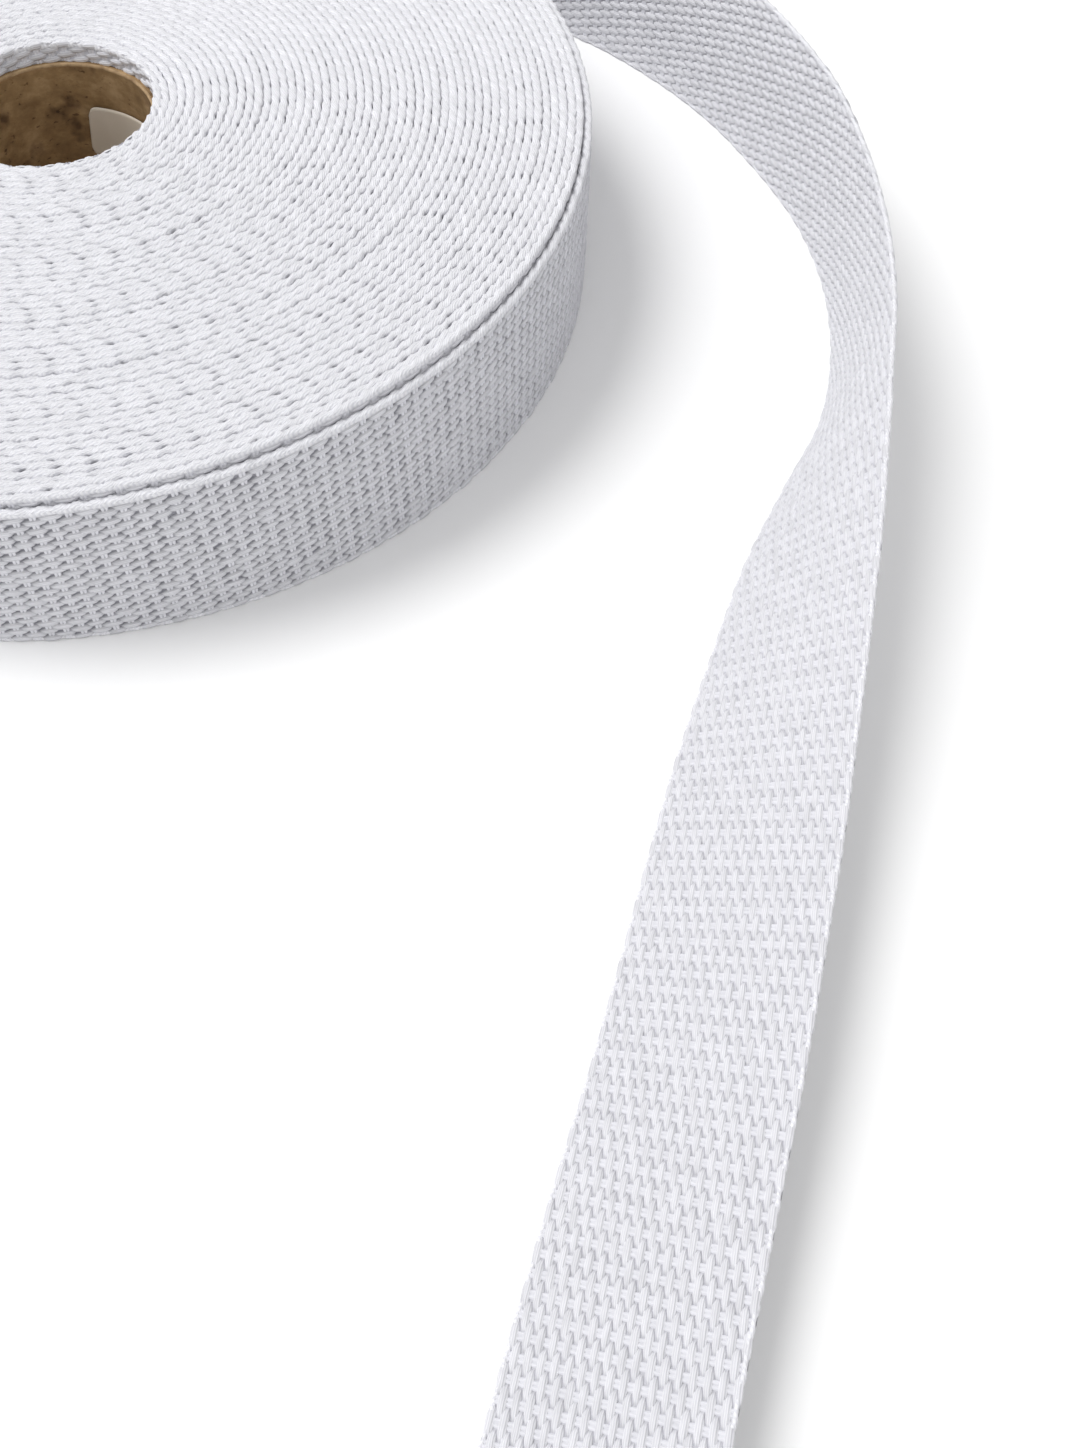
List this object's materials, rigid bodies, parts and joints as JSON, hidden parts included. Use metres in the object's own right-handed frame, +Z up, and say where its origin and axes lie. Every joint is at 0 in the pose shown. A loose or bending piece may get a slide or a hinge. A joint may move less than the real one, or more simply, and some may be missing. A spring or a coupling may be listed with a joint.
{
  "type": "roll of woven cotton tape",
  "caption": "White woven cotton tape wound on a cardboard core, its loose end standing on edge round the roll, leaning over and lying flat.",
  "frame": {"origin": "on the surface the roll lies on, under the middle of the part's bounding box", "axes": "+Z up along the roll's axis, +Y towards the side where the loose end leaves the roll, -Y towards the flat tip, +X towards the side that the loose end passes round"},
  "size_m": [0.2064, 0.2986, 0.0257],
  "materials": {
    "cotton_tape": "white warp-faced plain weave, matt with a slight sheen on the warp floats",
    "cardboard": "brown spiral-wound board with dark flecks, matt",
    "label_paper": "plain off-white paper, smooth and matt"
  },
  "bodies": {
    "root": {"tape_roll": "cotton_tape", "loose_end": "cotton_tape", "core": "cardboard", "core_label": "label_paper"}
  },
  "joints": []
}
